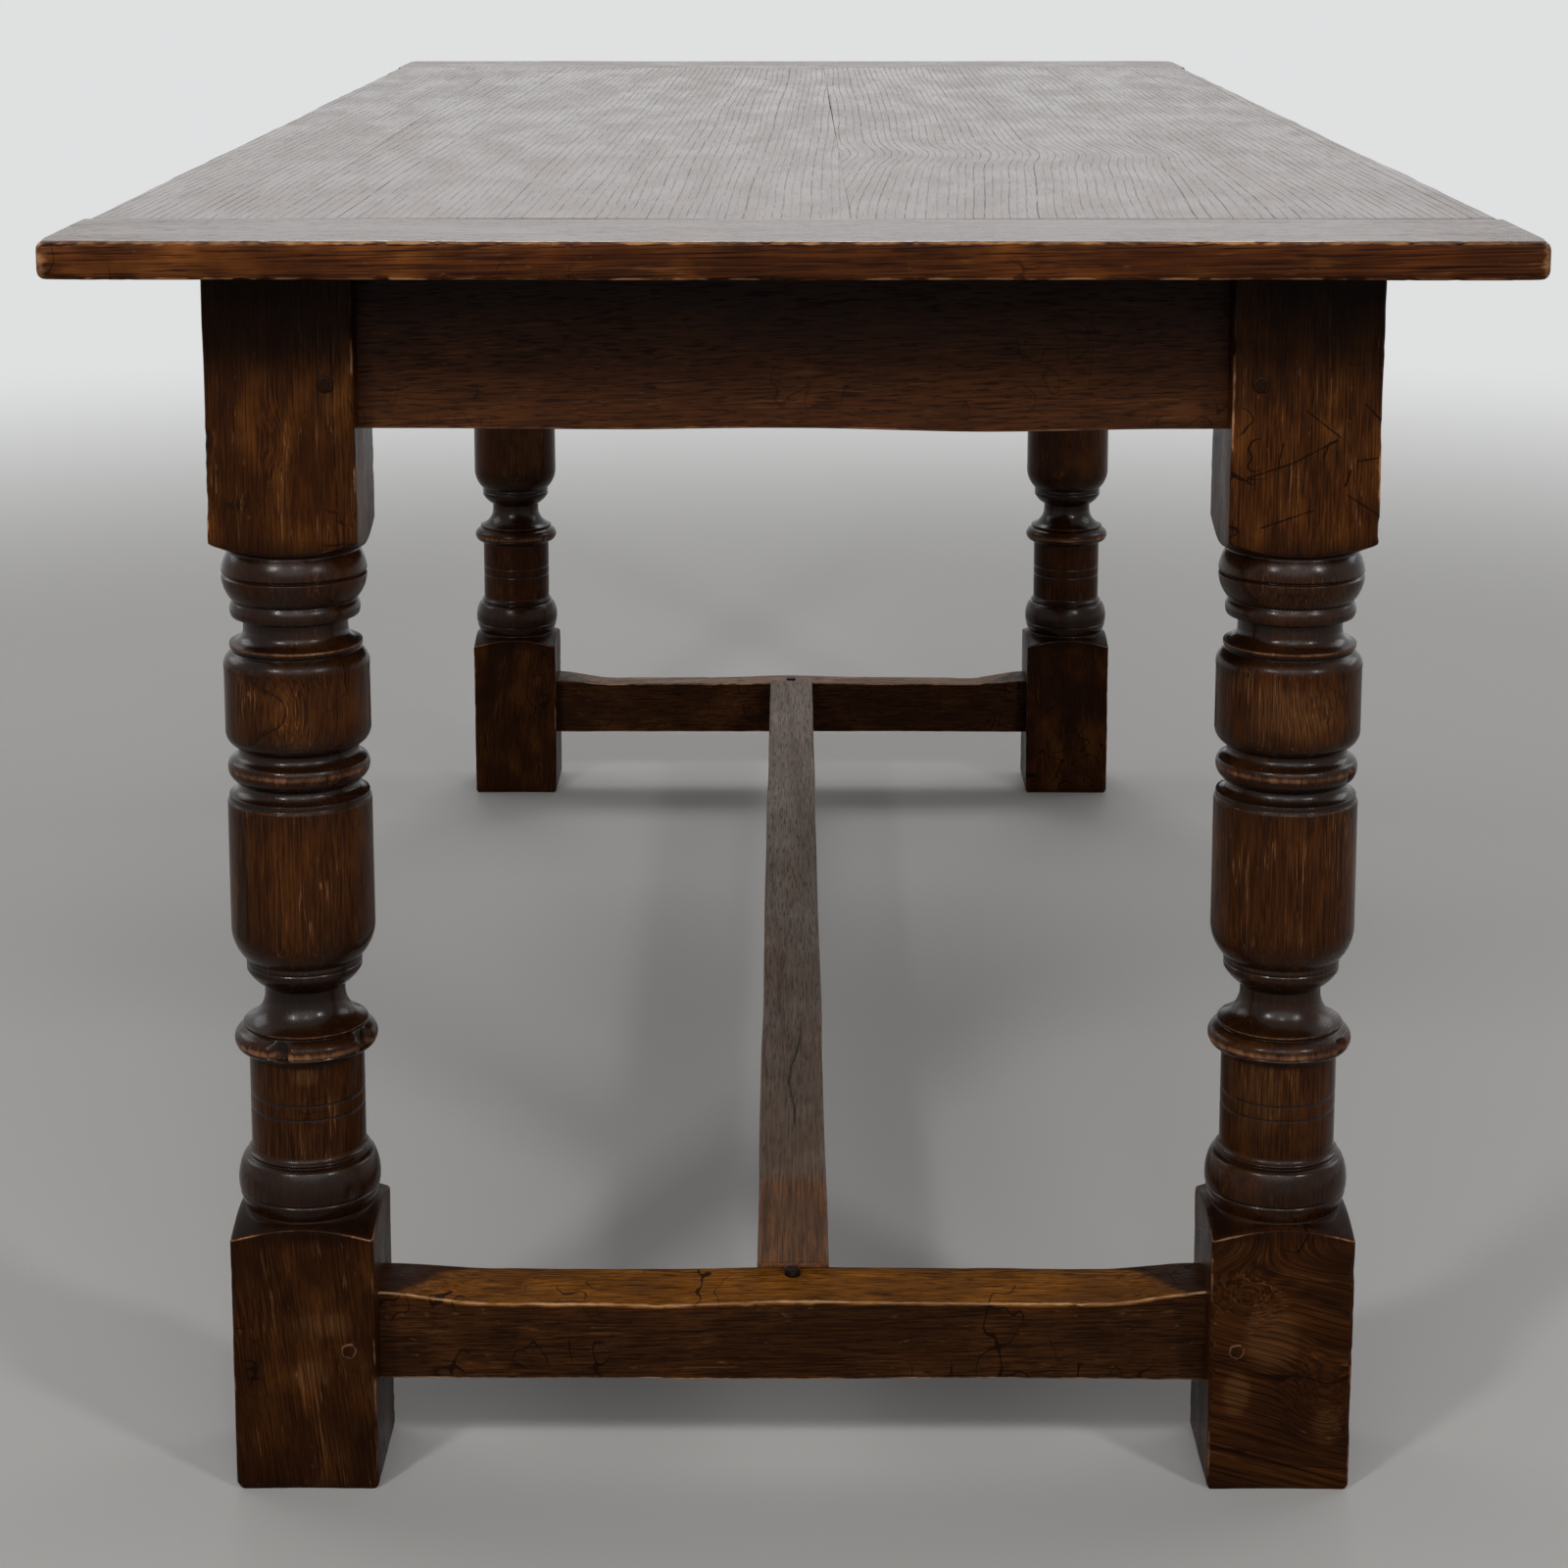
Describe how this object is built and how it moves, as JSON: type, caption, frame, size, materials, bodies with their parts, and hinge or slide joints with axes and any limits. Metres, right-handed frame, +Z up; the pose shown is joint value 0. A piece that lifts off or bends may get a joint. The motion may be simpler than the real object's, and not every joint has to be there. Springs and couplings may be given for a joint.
{
  "type": "refectory table",
  "caption": "Dark oak refectory table: plank top with breadboard ends on ring-turned legs with square blocks, joined by rails and an H stretcher.",
  "frame": {"origin": "on the floor, under the middle of the table", "axes": "+Y along the top, +X across it, +Z up; the end that the picture shows faces -Y"},
  "size_m": [0.812, 1.79, 0.76],
  "materials": {
    "oak_top": "dark stained oak, waxed satin",
    "oak_breadboard": "dark stained oak, waxed satin",
    "oak_leg": "dark stained oak, polished",
    "oak_rail": "dark stained oak, satin",
    "oak_stretcher": "dark stained oak, worn",
    "oak_peg": "dark stained oak",
    "oak_hidden": "unfinished oak",
    "screw_steel": "dull steel"
  },
  "bodies": {
    "root": {"breadboard_front": "oak_breadboard", "breadboard_pegs_front": "oak_peg", "breadboard_pegs_rear": "oak_peg", "breadboard_rear": "oak_breadboard", "button_screws": "screw_steel", "centre_peg_front": "oak_peg", "centre_peg_rear": "oak_peg", "centre_stretcher": "oak_stretcher", "end_rail_front": "oak_rail", "end_rail_peg_front_left": "oak_peg", "end_rail_peg_front_right": "oak_peg", "end_rail_peg_rear_left": "oak_peg", "end_rail_peg_rear_right": "oak_peg", "end_rail_rear": "oak_rail", "end_stretcher_front": "oak_stretcher", "end_stretcher_rear": "oak_stretcher", "leg_front_left": "oak_leg", "leg_front_right": "oak_leg", "leg_rear_left": "oak_leg", "leg_rear_right": "oak_leg", "side_rail_left": "oak_rail", "side_rail_peg_front_left": "oak_peg", "side_rail_peg_front_right": "oak_peg", "side_rail_peg_rear_left": "oak_peg", "side_rail_peg_rear_right": "oak_peg", "side_rail_right": "oak_rail", "stretcher_peg_front_left": "oak_peg", "stretcher_peg_front_right": "oak_peg", "stretcher_peg_rear_left": "oak_peg", "stretcher_peg_rear_right": "oak_peg", "top_board_left": "oak_top", "top_board_middle": "oak_top", "top_board_right": "oak_top", "top_button_front_1": "oak_hidden", "top_button_front_2": "oak_hidden", "top_button_left_1": "oak_hidden", "top_button_left_2": "oak_hidden", "top_button_left_3": "oak_hidden", "top_button_rear_1": "oak_hidden", "top_button_rear_2": "oak_hidden", "top_button_right_1": "oak_hidden", "top_button_right_2": "oak_hidden", "top_button_right_3": "oak_hidden", "top_tongue_left": "oak_hidden", "top_tongue_right": "oak_hidden"}
  },
  "joints": []
}
